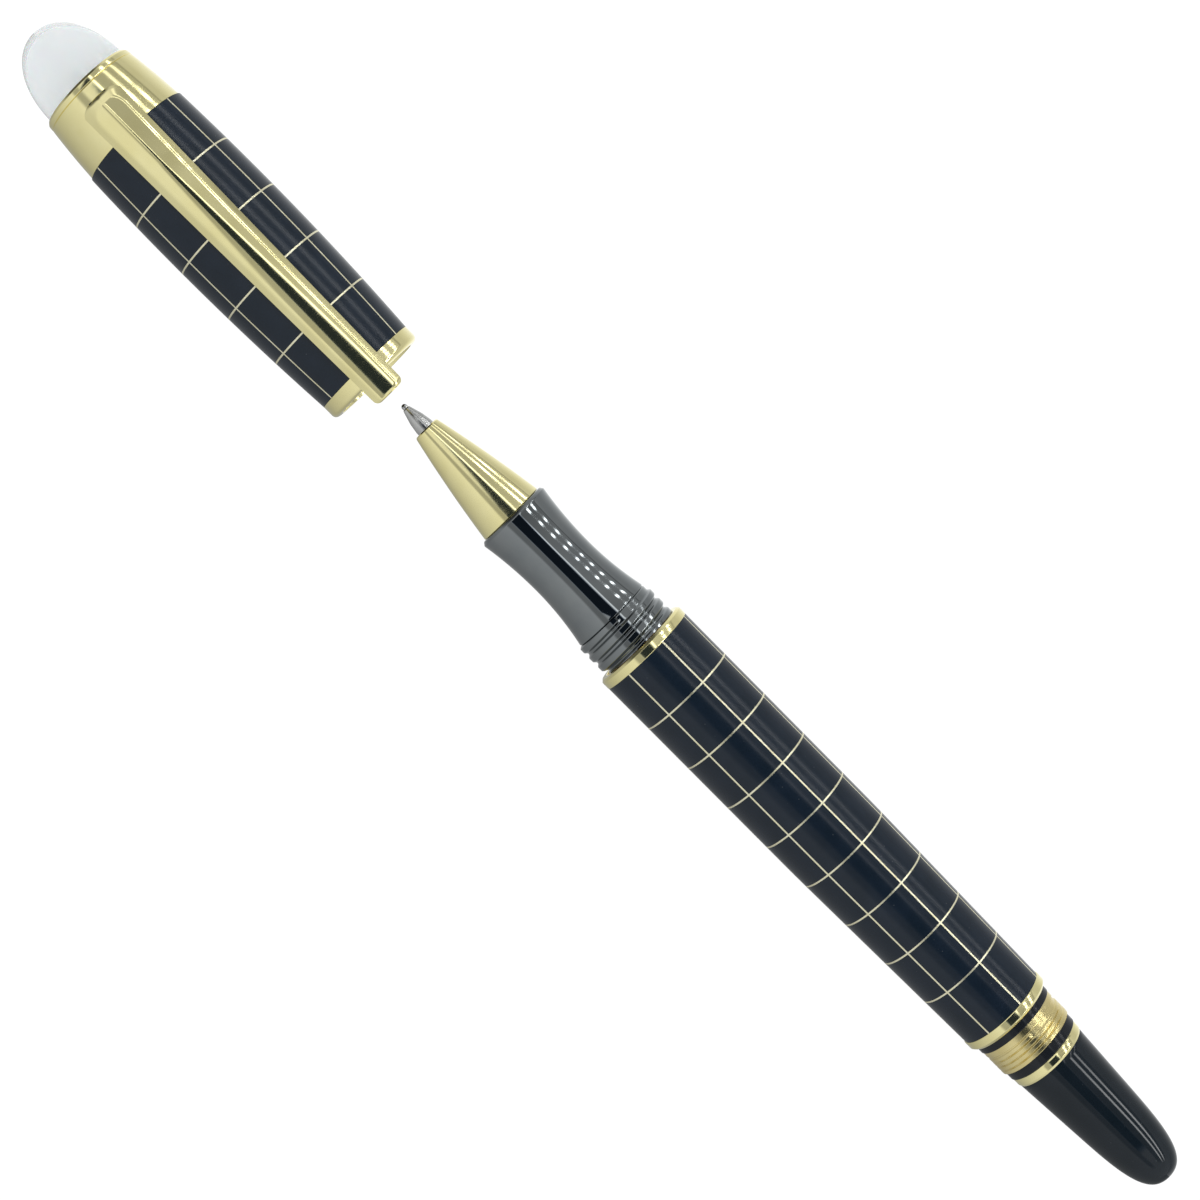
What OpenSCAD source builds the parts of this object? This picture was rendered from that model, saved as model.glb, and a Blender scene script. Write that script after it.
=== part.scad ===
// Capped rollerball pen, lying along X with its cap drawn off in line ahead of the point.
// +X runs from the crown to the tail, +Z is up and the clip is on top.
// Body places are measured from the barrel's front face, cap places from the cap's lip towards the crown.

/* [Layout] */
// Distance from the cap's lip to the barrel's front face
cap_off = 41.7; // [38:0.1:60]

/* [Barrel] */
// Radius of the straight front stretch
barrel_r = 6.05; // [5.9:0.05:6.2]
// Radius where the barrel meets the rear ring
barrel_end_r = 5.62; // [5.5:0.02:5.8]
// Place where the taper starts
taper_x = 31.5; // [20:0.5:45]
// Place of the barrel tube's rear end
barrel_end_x = 58.64; // [55:0.02:60]
// Width of the ring at the barrel's front
front_ring_w = 1.25; // [1:0.05:2.5]
// Inside radius of the barrel tube
barrel_bore_r = 5.1; // [5:0.02:5.2]

/* [Grid] */
// Width of an inlaid line
line_w = 0.22; // [0.15:0.01:0.4]
// Depth of an inlaid line
line_depth = 0.12; // [0.08:0.01:0.2]
// Number of lines along each tube
stripes = 7; // [4:1:12]
// Number of cells along the barrel
barrel_cells = 9; // [4:1:12]
// Length of a cell along the barrel, except the last, which runs on to the rear ring
barrel_cell_l = 6.34; // [5:0.02:6.5]
// Number of cells along the cap
cap_cells = 5; // [3:1:8]
// Turn of the barrel's first line from the top
barrel_stripe_turn = 32.5; // [0:0.5:50]

/* [Section] */
// Radius of the grip at its waist
waist_r = 4.05; // [4:0.05:4.2]
// Place of the waist
waist_x = -12.3; // [-14:0.1:-10]
// Radius of the grip's front shoulder
grip_front_r = 4.66; // [4.4:0.01:4.8]
// Radius of the grip's rear end
grip_back_r = 4.9; // [4.7:0.05:5]
// Place of the grip's rear end
grip_back_x = -4.4; // [-5:0.1:-4]
// Place of the joint between the nose and the grip
nose_back_x = -20.4; // [-21:0.1:-19.5]
// Length of the nose
nose_l = 13.55; // [12.5:0.05:14]
// Radius of the nose at the grip
nose_back_r = 4.1; // [4:0.02:4.2]
// Radius of the nose at its mouth
nose_front_r = 1.6; // [1.4:0.02:1.8]

/* [Cap threads] */
// Distance from one ridge to the next
thread_pitch = 1.41; // [1.2:0.01:1.42]
// Radius over the ridges
thread_r = 5.2; // [5.1:0.02:5.24]
// Radius between the ridges
thread_root_r = 4.88; // [4.7:0.02:4.95]

/* [Refill] */
// Radius of the ink tube
refill_r = 3.05; // [2.9:0.01:3.08]
// Place of the ink tube's rear end
refill_end_x = 72.9; // [68:0.1:73.5]
// Radius of the writing ball
ball_r = 0.35; // [0.25:0.05:0.4]
// Place of the writing ball's centre
ball_x = -37.35; // [-37.5:0.05:-37.2]

/* [Tail] */
// Place where the tail cone starts
tail_x = 66.79; // [66.6:0.01:67.3]
// Place of the tail's end
tail_end_x = 86.3; // [84:0.1:90]
// Radius of the tail cone at its ring
tail_r = 4.65; // [4.5:0.01:4.7]
// Loss of radius for each millimetre along the tail cone
tail_slope = 0.0605; // [0.04:0.005:0.07]

/* [Cap] */
// Largest radius of the cap
cap_r = 7.12; // [6.9:0.02:7.3]
// Place of the largest radius
cap_wide_u = 24.3; // [20:0.1:28]
// Loss of radius for each square millimetre away from the widest place
cap_bow = 0.0014; // [0.0010:0.0001:0.0015]
// Inside radius of the cap tube
cap_bore_r = 5.6; // [5.5:0.02:5.7]
// Height of the lip ring
lip_h = 1.9; // [1.5:0.1:2.5]
// Place where the tube meets the collar
collar_u = 37.6; // [36:0.05:39]
// Place where the collar meets the bezel
bezel_u = 44.4; // [44:0.1:45]
// Place where the bezel meets the dome
dome_u = 45.3; // [45:0.1:46]
// Height of the dome
dome_h = 8.2; // [7:0.1:10]
// Radius of the dome at its base
dome_r = 5.5; // [5.3:0.05:5.8]

/* [Clip] */
// Width of the clip along its upper half
clip_w = 5.3; // [4.8:0.1:5.6]
// Width of the clip at its tip
clip_tip_w = 4.0; // [3.6:0.1:4.6]
// Thickness of the clip
clip_t = 0.85; // [0.7:0.05:0.9]
// Distance that the clip reaches past the lip
clip_reach = 2.4; // [1:0.1:3]
// Place of the clip's crown end
clip_top_u = 43.6; // [43:0.1:44]

/* [Hidden] */
$fn = 96;

// The pen lies on its cap, with the middle of its length over the origin
cap_end_x = -cap_off - dome_u - dome_h;
pen_x = -(cap_end_x + tail_end_x) / 2;
axis_z = cap_r;

// Colours
gold = "khaki";
lacquer = "#10131c";
gunmetal = "#6d7376";
steel = "silver";
brass = "goldenrod";

// Fits
slip = 0.1;
gap = 0.06;
edge = 0.3;
cut = 1;

// Fine steps of a curved outline
curve_steps = 14;
round_steps = 6;

// Straight bores and sleeves
refill_bore_r = refill_r + slip;
core_r = 3.6;
core_x = -15.4;
core_end_x = 13.5;
screw_r = 4.6;
screw_root_r = 4.3;
screw_pitch = 1.0;
screw_x = 3.5;
screw_ridges = 9;
thread_ridges = 3;
bush_x = 0.2;
bush_end_x = 14.5;
stud_r = 4.1;
stud_x = 50;
stud_end_x = 70;

// Radius of the barrel at a place x
barrel_slope = (barrel_r - barrel_end_r) / (barrel_end_x - taper_x);
function barrel_radius(x) = x < taper_x ? barrel_r : barrel_r - barrel_slope * (x - taper_x);

// Radius of the cap at a place u above its lip
function cap_radius(u) = cap_r - cap_bow * pow(u - cap_wide_u, 2);

// Radius of the waisted grip at a place x
grip_front_x = nose_back_x + 0.45;
function grip_radius(x) =
    x < waist_x
        ? waist_r + (grip_front_r - waist_r) * pow((x - waist_x) / (grip_front_x - waist_x), 2)
        : waist_r + (grip_back_r - waist_r) * pow((x - waist_x) / (grip_back_x - waist_x), 2);

// Radius of the nose at a place x: nearly a straight cone, a little full in the middle
nose_front_x = nose_back_x - nose_l;
nose_lean = 0.77;
function nose_radius(x) =
    let (t = (nose_back_x - x) / nose_l)
    nose_back_r - (nose_back_r - nose_front_r) * (nose_lean * t + (1 - nose_lean) * t * t);

// Radius of the tail cone at a place x: a taper with a full, rounded end
tail_round_x = 74;
tail_fullness = 4.2;
function tail_end_share(x) = max(0, (x - tail_round_x) / (tail_end_x - tail_round_x));
function tail_radius(x) =
    (tail_r - tail_slope * (x - tail_x)) * pow(max(0, 1 - pow(tail_end_share(x), tail_fullness)), 1 / 3);

// Radius of the dome at a height h over its base
dome_fullness = 2.1;
function dome_radius(h, r, height) = r * pow(max(0, 1 - pow(h / height, dome_fullness)), 1 / dome_fullness);

// Points [radius, place] of an outline that follows the function f from a to b
function along(f, a, b, steps) = [for (i = [0:steps]) let (x = a + (b - a) * i / steps) [f(x), x]];

// The same, with the steps drawn closer together towards b
function closing(f, a, b, steps) = [for (i = [0:steps]) let (x = a + (b - a) * sin(90 * i / steps)) [f(x), x]];

// Points of a row of thread ridges that starts at place x
function ridges(x, count, pitch, root, crest) = [
    for (i = [0:count - 1])
        for (p = [[root, 0.18], [crest, 0.42], [crest, 0.58], [root, 0.82]]) [p[0], x + (i + p[1]) * pitch]
];

// Points of a quarter round of radius r that ends an edge at [edge_r, edge_x], turning in on one side
function rounded(edge_r, edge_x, r, side) = [
    for (i = [0:round_steps])
        let (a = 90 * i / round_steps)
        [edge_r - r + r * cos(a), edge_x + side * r * sin(a)]
];

// A turned piece: its outline is revolved about the pen's axis
module turned(outline) {
    rotate([0, 90, 0])
        rotate_extrude()
            polygon(outline);
}

// A plain sleeve from place a to place b
module sleeve(outer, inner, a, b) {
    turned([[inner, a], [outer, a], [outer, b], [inner, b]]);
}

// Body pieces stand on the pen's axis
module on_pen() {
    translate([pen_x, 0, axis_z])
        children();
}

// Cap pieces are turned about, so that their places run from the lip to the crown
module on_cap() {
    translate([pen_x - cap_off, 0, axis_z])
        mirror([1, 0, 0])
            children();
}

// Thin discs and slabs that mark out a grid of lines between places a and b, with hoops a cell apart
module grid_lines(a, b, cell_l, cells, turn) {
    reach = 2 * cap_r;
    for (i = [1:cells - 1])
        translate([a + i * cell_l - line_w / 2, 0, 0])
            rotate([0, 90, 0])
                cylinder(r = reach, h = line_w);
    for (i = [0:stripes - 1])
        rotate([turn + 360 * i / stripes, 0, 0])
            translate([a - cut, -line_w / 2, 0])
                cube([b - a + 2 * cut, line_w, reach]);
}

// Outlines of the two lacquered tubes
barrel_x = front_ring_w;
barrel_skin = [
    [barrel_radius(barrel_x), barrel_x],
    [barrel_radius(taper_x), taper_x],
    [barrel_radius(barrel_end_x), barrel_end_x],
];
cap_skin = along(function(u) cap_radius(u), lip_h, collar_u, curve_steps);
cap_cell_l = (collar_u - lip_h) / cap_cells;
function sunk(skin) = [for (p = skin) [p[0] - line_depth, p[1]]];
function reversed(points) = [for (i = [len(points) - 1:-1:0]) points[i]];

// A tube with the outline skin and a grid of grooves
module grooved_tube(skin, bore_r, cell_l, cells, turn) {
    a = skin[0][1];
    b = skin[len(skin) - 1][1];
    difference() {
        turned(concat([[bore_r, a]], skin, [[bore_r, b]]));
        difference() {
            grid_lines(a, b, cell_l, cells, turn);
            turned(concat([[0, a - 2 * cut]], [[sunk(skin)[0][0], a - 2 * cut]], sunk(skin),
                [[sunk(skin)[len(skin) - 1][0], b + 2 * cut]], [[0, b + 2 * cut]]));
        }
    }
}

// The inlay that fills those grooves flush
module inlay(skin, cell_l, cells, turn) {
    a = skin[0][1];
    b = skin[len(skin) - 1][1];
    intersection() {
        turned(concat(skin, reversed(sunk(skin))));
        grid_lines(a, b, cell_l, cells, turn);
    }
}

// ---- Section ----

nose_step_x = -29;
nose_shoulder_x = -24;
tip_bore_r = 1.2;
holder_bore_r = 2;
module nose_cone() {
    color(gold)
        on_pen()
            turned(concat(
                [[tip_bore_r, nose_front_x]],
                along(function(x) nose_radius(x), nose_front_x, nose_back_x, curve_steps),
                [[core_r, nose_back_x], [core_r, core_x], [refill_bore_r, core_x],
                 [refill_bore_r, nose_shoulder_x], [holder_bore_r, nose_shoulder_x],
                 [holder_bore_r, nose_step_x], [tip_bore_r, nose_step_x]]
            ));
}

module section_grip() {
    shoulder_r = grip_front_r - 0.25;
    color(gunmetal)
        on_pen()
            turned(concat(
                [[core_r, nose_back_x], [shoulder_r, nose_back_x], [grip_front_r - gap, nose_back_x + edge]],
                along(function(x) grip_radius(x), grip_front_x, grip_back_x, 2 * curve_steps),
                [[core_r, grip_back_x]]
            ));
}

module cap_thread_collar() {
    lead = 0.1;
    color(gunmetal)
        on_pen()
            turned(concat(
                [[core_r, grip_back_x], [grip_back_r - lead, grip_back_x], [grip_back_r, grip_back_x + lead]],
                ridges(grip_back_x + lead, thread_ridges, thread_pitch, thread_root_r, thread_r),
                [[thread_root_r, -gap], [core_r, -gap]]
            ));
}

module section_core() {
    neck_x = -gap;
    color(brass)
        on_pen()
            turned(concat(
                [[refill_bore_r, core_x], [core_r, core_x], [core_r, neck_x], [screw_root_r, neck_x]],
                ridges(screw_x, screw_ridges, screw_pitch, screw_root_r, screw_r),
                [
                    [screw_root_r, core_end_x - edge], [screw_root_r - edge, core_end_x],
                    [refill_bore_r, core_end_x]
                ]
            ));
}

// ---- Refill ----

tube_x = -23.6;
tube_bore_r = 2.65;
holder_x = -28.8;
holder_r = 1.9;
holder_end_x = -17;
shank_r = 1.12;
wick_r = 0.45;
wick_bore_r = 0.5;
plug_head_x = refill_end_x - 1;
module refill_tube() {
    color("white")
        on_pen()
            sleeve(refill_r, tube_bore_r, tube_x, plug_head_x);
}

module tip_holder() {
    flange_x = nose_shoulder_x + gap;
    color("dimgray")
        on_pen()
            turned([
                [shank_r, holder_x], [holder_r - edge, holder_x], [holder_r, holder_x + edge],
                [holder_r, flange_x], [refill_r, flange_x], [refill_r, tube_x],
                [tube_bore_r, tube_x], [tube_bore_r, holder_end_x],
                [wick_bore_r, holder_end_x], [wick_bore_r, flange_x], [shank_r, flange_x],
            ]);
}

// The steel point: a slim cone with a seat for the ball and a shank held in the holder
cone_x = -37.1;
cone_back_x = -34.3;
seat_slip = 0.012;
module writing_tip() {
    cone_front_r = 0.42;
    flank_r = 0.92;
    flank_x = -35.5;
    shank_end_x = nose_shoulder_x;
    color(steel)
        on_pen()
            difference() {
                turned([
                    [0, cone_x], [cone_front_r, cone_x], [flank_r, flank_x], [shank_r, cone_back_x],
                    [shank_r, shank_end_x], [wick_bore_r, shank_end_x],
                    [wick_bore_r, nose_step_x], [0, nose_step_x],
                ]);
                translate([ball_x, 0, 0])
                    sphere(r = ball_r + seat_slip);
            }
}

module ink_wick() {
    wick_l = 24;
    color("lightgray")
        on_pen()
            translate([nose_step_x, 0, 0])
                rotate([0, 90, 0])
                    cylinder(r = wick_r, h = wick_l);
}

reservoir_x = -16.8;
reservoir_end_x = 66;
module ink_reservoir() {
    wick_hole_l = 12;
    color("midnightblue")
        on_pen()
            turned([
                [wick_bore_r, reservoir_x], [tube_bore_r, reservoir_x], [tube_bore_r, reservoir_end_x],
                [0, reservoir_end_x], [0, reservoir_x + wick_hole_l], [wick_bore_r, reservoir_x + wick_hole_l],
            ]);
}

module refill_plug() {
    plug_x = 67;
    color("dimgray")
        on_pen()
            turned([
                [0, plug_x], [tube_bore_r, plug_x], [tube_bore_r, plug_head_x], [refill_r, plug_head_x],
                [refill_r, refill_end_x - edge], [refill_r - edge, refill_end_x], [0, refill_end_x],
            ]);
}

module writing_ball() {
    color(steel)
        on_pen()
            translate([ball_x, 0, 0])
                sphere(r = ball_r);
}

// ---- Spring behind the refill ----

tail_bore_r = 3.3;
tail_bore_end_x = 78;
seat_x = refill_end_x + gap;
seat_h = 0.8;
module spring_seat() {
    boss_r = 1.6;
    color("ivory")
        on_pen()
            turned([
                [0, seat_x], [refill_r, seat_x], [refill_r, seat_x + seat_h],
                [boss_r, seat_x + seat_h], [boss_r, seat_x + 2 * seat_h], [0, seat_x + 2 * seat_h],
            ]);
}

// A wire swept along a helix, with both ends closed
module coil(mean_r, wire_r, height, turns) {
    sides = 8;
    per_turn = 24;
    steps = turns * per_turn;
    function ring(i) = [
        for (k = [0:sides - 1])
            let (
                a = 360 * i / per_turn,
                b = 360 * k / sides,
                r = mean_r + wire_r * cos(b)
            )
            [height * i / steps + wire_r * sin(b), r * cos(a), r * sin(a)]
    ];
    points = [for (i = [0:steps]) each ring(i)];
    skin = [
        for (i = [0:steps - 1])
            for (k = [0:sides - 1])
                let (n = (k + 1) % sides)
                each [
                    [i * sides + k, (i + 1) * sides + n, i * sides + n],
                    [i * sides + k, (i + 1) * sides + k, (i + 1) * sides + n],
                ]
    ];
    ends = [
        [for (k = [0:sides - 1]) k],
        [for (k = [sides - 1:-1:0]) steps * sides + k],
    ];
    polyhedron(points, concat(skin, ends));
}

module refill_spring() {
    wire_r = 0.2;
    mean_r = 2.3;
    turns = 4;
    start_x = seat_x + seat_h + wire_r + 0.02;
    color(steel)
        on_pen()
            translate([start_x, 0, 0])
                coil(mean_r, wire_r, tail_bore_end_x - start_x - wire_r - gap, turns);
}

// ---- Barrel ----

module barrel_tube() {
    color(lacquer)
        on_pen()
            grooved_tube(barrel_skin, barrel_bore_r, barrel_cell_l, barrel_cells, barrel_stripe_turn);
}

module barrel_grid() {
    color(gold)
        on_pen()
            inlay(barrel_skin, barrel_cell_l, barrel_cells, barrel_stripe_turn);
}

// A trim ring with a bevel at each edge that is asked for
module trim_ring(outer, inner, a, b, front_bevel, back_bevel) {
    turned([
        [inner, a], [outer - front_bevel, a], [outer, a + front_bevel],
        [outer, b - back_bevel], [outer - back_bevel, b], [inner, b],
    ]);
}

// How far each trim ring stands out from the tube or cone next to it
front_ring_rise = 0.03;
rear_ring_rise = 0.1;
tail_ring_rise = 0.12;
module front_ring() {
    color(gold)
        on_pen()
            trim_ring(barrel_r + front_ring_rise, barrel_bore_r, 0, front_ring_w, edge, gap);
}

module barrel_bush() {
    color(brass)
        on_pen()
            sleeve(barrel_bore_r, screw_r + gap, bush_x, bush_end_x);
}

rear_ring_end_x = 59.95;
spacer_end_x = 60.96;
posting_end_x = 64.34;
rear_spacer_end_x = 65.57;
front_spacer_r = 5.17;
rear_spacer_r = 4.87;
module rear_ring() {
    color(gold)
        on_pen()
            trim_ring(barrel_end_r + rear_ring_rise, stud_r, barrel_end_x, rear_ring_end_x, gap, edge);
}

module front_spacer() {
    color(lacquer)
        on_pen()
            sleeve(front_spacer_r, stud_r, rear_ring_end_x, spacer_end_x);
}

// Threads that take the cap when it is put on the tail
module posting_thread() {
    land_r = 5.08;
    root_r = 4.78;
    land_w = 0.75;
    pitch = 0.86;
    groove = 0.12;
    color(gold)
        on_pen()
            turned(concat(
                [[stud_r, spacer_end_x], [land_r - groove, spacer_end_x], [land_r, spacer_end_x + groove],
                 [land_r, spacer_end_x + land_w - groove], [root_r, spacer_end_x + land_w]],
                ridges(spacer_end_x + land_w, thread_ridges, pitch, root_r, land_r),
                [[root_r, posting_end_x], [stud_r, posting_end_x]]
            ));
}

module rear_spacer() {
    color(lacquer)
        on_pen()
            sleeve(rear_spacer_r, stud_r, posting_end_x, rear_spacer_end_x);
}

module tail_ring() {
    color(gold)
        on_pen()
            trim_ring(tail_r + tail_ring_rise, stud_r, rear_spacer_end_x, tail_x, edge / 2, edge);
}

module tail_stud() {
    bore = refill_r + 0.2;
    color(brass)
        on_pen()
            turned([
                [bore, stud_x], [barrel_bore_r, stud_x], [barrel_bore_r, barrel_end_x],
                [stud_r, barrel_end_x], [stud_r, stud_end_x], [bore, stud_end_x],
            ]);
}

module tail_cone() {
    color(lacquer)
        on_pen()
            turned(concat(
                [[stud_r, tail_x]],
                closing(function(x) tail_radius(x), tail_x, tail_end_x, 2 * curve_steps),
                [[0, tail_bore_end_x], [tail_bore_r, tail_bore_end_x],
                 [tail_bore_r, stud_end_x], [stud_r, stud_end_x]]
            ));
}

// ---- Cap ----

liner_u = 14;
liner_end_u = 41.2;
liner_bore_r = 4.75;
liner_wall = 1.2;
// A loose liner that closes round the point and turns freely in the cap
module inner_cap() {
    color("gainsboro")
        on_cap()
            turned([
                [liner_bore_r + edge, liner_u], [cap_bore_r - slip, liner_u], [cap_bore_r - slip, liner_end_u],
                [0, liner_end_u], [0, liner_end_u - liner_wall], [liner_bore_r, liner_end_u - liner_wall],
                [liner_bore_r, liner_u + edge],
            ]);
}

module cap_tube() {
    color(lacquer)
        on_cap()
            grooved_tube(cap_skin, cap_bore_r, cap_cell_l, cap_cells, 0);
}

module cap_grid() {
    color(gold)
        on_cap()
            inlay(cap_skin, cap_cell_l, cap_cells, 0);
}

cap_bush_r = thread_r + slip;
cap_bush_end_u = 9;
module lip_ring() {
    lip_round = 0.75;
    lip_r = cap_radius(lip_h);
    color(gold)
        on_cap()
            turned(concat(
                [[cap_bush_r, lip_h], [lip_r, lip_h]],
                rounded(lip_r - 0.02, lip_round, lip_round, -1),
                [[cap_bush_r + edge / 2, 0], [cap_bush_r, edge / 2]]
            ));
}

module cap_bush() {
    color(brass)
        on_cap()
            sleeve(cap_bore_r, cap_bush_r, lip_h, cap_bush_end_u);
}

// The gold band under the crown: its floor carries the crown's stud, and its slot takes the clip's tang
collar_floor_u = 42.9;
collar_front_r = 6.74;
collar_back_r = 6.1;
crown_stud_r = 1.5;
tang_w = 2.4;
tang_u = 41.95;
tang_t = 0.8;
function collar_radius(u) =
    let (t = (u - collar_u) / (bezel_u - collar_u))
    collar_front_r - (collar_front_r - collar_back_r) * (0.6 * t + 0.4 * t * t);
module clip_collar() {
    slot_slip = 0.12;
    color(gold)
        on_cap()
            difference() {
                turned(concat(
                    [[cap_bore_r, collar_u]],
                    along(function(u) collar_radius(u), collar_u, bezel_u, round_steps),
                    [[crown_stud_r, bezel_u], [crown_stud_r, collar_floor_u], [cap_bore_r, collar_floor_u]]
                ));
                translate([tang_u - slot_slip, -tang_w / 2 - slot_slip, cap_bore_r - cut])
                    cube([tang_t + 2 * slot_slip, tang_w + 2 * slot_slip, 3 * cut]);
            }
}

module crown_bezel() {
    seam = 0.12;
    round_r = 0.35;
    color(gold)
        on_cap()
            turned(concat(
                [[crown_stud_r, bezel_u], [collar_back_r - seam, bezel_u], [collar_back_r, bezel_u + seam]],
                rounded(collar_back_r, dome_u - round_r, round_r, 1),
                [[crown_stud_r, dome_u]]
            ));
}

// Points of a dome of base radius r and the given height, standing on the bezel
function dome_outline(r, height) = [
    for (p = closing(function(h) dome_radius(h, r, height), 0, height, curve_steps)) [p[0], dome_u + p[1]]
];

core_dome_r = 3.5;
core_dome_h = 6;
stud_end_u = dome_u + 3;
module crown_dome() {
    color("lightsteelblue", 0.6)
        on_cap()
            turned(concat(dome_outline(dome_r, dome_h), reversed(dome_outline(core_dome_r, core_dome_h))));
}

module dome_core() {
    color("white")
        on_cap()
            turned(concat(
                [[crown_stud_r, dome_u]],
                dome_outline(core_dome_r, core_dome_h),
                [[0, stud_end_u], [crown_stud_r, stud_end_u]]
            ));
}

nut_u = 41.45;
module crown_stud() {
    color(steel)
        on_cap()
            turned([[0, nut_u], [crown_stud_r, nut_u], [crown_stud_r, stud_end_u], [0, stud_end_u]]);
}

module crown_nut() {
    nut_r = 2.8;
    color(steel)
        on_cap()
            translate([nut_u, 0, 0])
                rotate([0, 90, 0])
                    difference() {
                        cylinder(r = nut_r, h = collar_floor_u - nut_u, $fn = 6);
                        translate([0, 0, -cut])
                            cylinder(r = crown_stud_r, h = 2 * cut + collar_floor_u - nut_u, $fn = 96);
                    }
}

// ---- Clip ----

// Height of the clip's top over the axis: it climbs from the collar to a crest and falls gently to the tip
crest_u = 30;
crest_z = 8.45;
root_drop = 1.3;
tip_drop = 0.85;
drop_power = 1.4;
function clip_top(u) =
    u > crest_u
        ? crest_z - root_drop * pow((u - crest_u) / (clip_top_u - crest_u), drop_power)
        : crest_z - tip_drop * pow((crest_u - u) / (crest_u + clip_reach), drop_power);

// Points of the clip's outline seen from above, rounded at its four corners
clip_corner = 0.7;
function corner(cx, cy, a) = [
    for (i = [0:round_steps])
        let (b = a + 90 * i / round_steps)
        [cx + clip_corner * cos(b), cy + clip_corner * sin(b)]
];
module clip_plan() {
    tip = -clip_reach + clip_corner;
    top = clip_top_u - clip_corner;
    polygon(concat(
        corner(top, clip_w / 2 - clip_corner, 0),
        corner(tip, clip_tip_w / 2 - clip_corner, 90),
        corner(tip, -clip_tip_w / 2 + clip_corner, 180),
        corner(top, -clip_w / 2 + clip_corner, 270)
    ));
}

// Points of the clip seen from the side: a thin bar with a foot at the crown and a bead at the tip
function clip_under(u) = max(clip_top(u) - clip_t, cap_radius(u) + 2 * gap);
module clip_side() {
    foot_u = 40.6;
    foot_z = collar_radius(foot_u) + gap;
    end_z = collar_radius(clip_top_u) + 2 * gap;
    bead_u = 1.2;
    bead_w = 3;
    bead_z = cap_radius(lip_h) + 2 * gap;
    top = along(function(u) clip_top(u), -clip_reach, clip_top_u, 2 * curve_steps);
    under = along(function(u) clip_under(u), foot_u, bead_u + bead_w, curve_steps);
    outline = concat(
        top,
        [[end_z, clip_top_u], [foot_z, foot_u]],
        under,
        [[bead_z, bead_u + 0.6 * bead_w], [bead_z, bead_u], [clip_top(-clip_reach) - clip_t, -clip_reach]]
    );
    polygon([for (p = outline) [p[1], p[0]]]);
}

module clip() {
    hook_top_z = 5.3;
    hook_t = 0.45;
    hook_w = 1.35;
    color(gold)
        on_cap() {
            intersection() {
                linear_extrude(height = 2 * crest_z)
                    clip_plan();
                translate([0, clip_w, 0])
                    rotate([90, 0, 0])
                        linear_extrude(height = 2 * clip_w)
                            clip_side();
            }
            translate([tang_u, -tang_w / 2, hook_top_z - hook_t])
                cube([tang_t, tang_w, clip_top(tang_u) - hook_top_z]);
            translate([tang_u - hook_w + tang_t, -tang_w / 2, hook_top_z - hook_t])
                cube([hook_w, tang_w, hook_t]);
        }
}

nose_cone();
section_grip();
cap_thread_collar();
section_core();
refill_tube();
tip_holder();
writing_tip();
ink_wick();
ink_reservoir();
refill_plug();
writing_ball();
spring_seat();
refill_spring();
barrel_tube();
barrel_grid();
front_ring();
barrel_bush();
rear_ring();
front_spacer();
posting_thread();
rear_spacer();
tail_ring();
tail_stud();
tail_cone();
inner_cap();
cap_tube();
cap_grid();
lip_ring();
cap_bush();
clip_collar();
crown_bezel();
crown_dome();
dome_core();
crown_stud();
crown_nut();
clip();
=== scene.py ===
import math

import bmesh
import bpy
from mathutils import Matrix, Vector


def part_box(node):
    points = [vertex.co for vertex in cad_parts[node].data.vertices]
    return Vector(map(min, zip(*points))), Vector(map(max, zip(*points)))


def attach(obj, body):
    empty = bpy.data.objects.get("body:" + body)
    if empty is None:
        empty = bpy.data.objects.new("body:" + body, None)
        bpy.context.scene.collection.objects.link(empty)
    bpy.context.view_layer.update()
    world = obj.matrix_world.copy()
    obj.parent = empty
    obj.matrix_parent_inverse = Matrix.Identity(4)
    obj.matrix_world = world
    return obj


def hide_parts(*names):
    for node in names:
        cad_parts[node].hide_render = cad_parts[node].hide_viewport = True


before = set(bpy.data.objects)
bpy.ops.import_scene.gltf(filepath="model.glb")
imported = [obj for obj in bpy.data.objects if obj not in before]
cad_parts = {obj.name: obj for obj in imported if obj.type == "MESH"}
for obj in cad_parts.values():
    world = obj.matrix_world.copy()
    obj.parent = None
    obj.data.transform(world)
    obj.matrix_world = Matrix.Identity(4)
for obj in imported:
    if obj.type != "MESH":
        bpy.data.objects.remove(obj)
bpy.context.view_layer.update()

# ---------------------------------------------------------------- places, from the frame
# Body pieces are measured along +X from the barrel's front face, cap pieces along -X from the cap's lip.
# Outlines are in millimetres.
MM = 0.001
BARREL_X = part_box("front_ring")[0].x
LIP_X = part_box("lip_ring")[1].x
AXIS_Z = (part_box("barrel_tube")[0].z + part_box("barrel_tube")[1].z) / 2


def span(node, cap=False):
    """(start, end, largest radius) of a round CAD node, in millimetres along the pen or up the cap."""
    low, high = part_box(node)
    radius = (high.y - low.y) / 2 / MM
    if cap:
        return (LIP_X - high.x) / MM, (LIP_X - low.x) / MM, radius
    return (low.x - BARREL_X) / MM, (high.x - BARREL_X) / MM, radius


# ---------------------------------------------------------------- mesh helpers
SEGMENTS = 144
SHARP = math.radians(38)
TINY = 1e-6


def place(x, r, angle, cap=False):
    """A point at x along the pen, r from its axis, turned by angle from the top towards -Y."""
    along = LIP_X - x * MM if cap else BARREL_X + x * MM
    return Vector((along, -r * MM * math.sin(angle), AXIS_Z + r * MM * math.cos(angle)))


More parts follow.
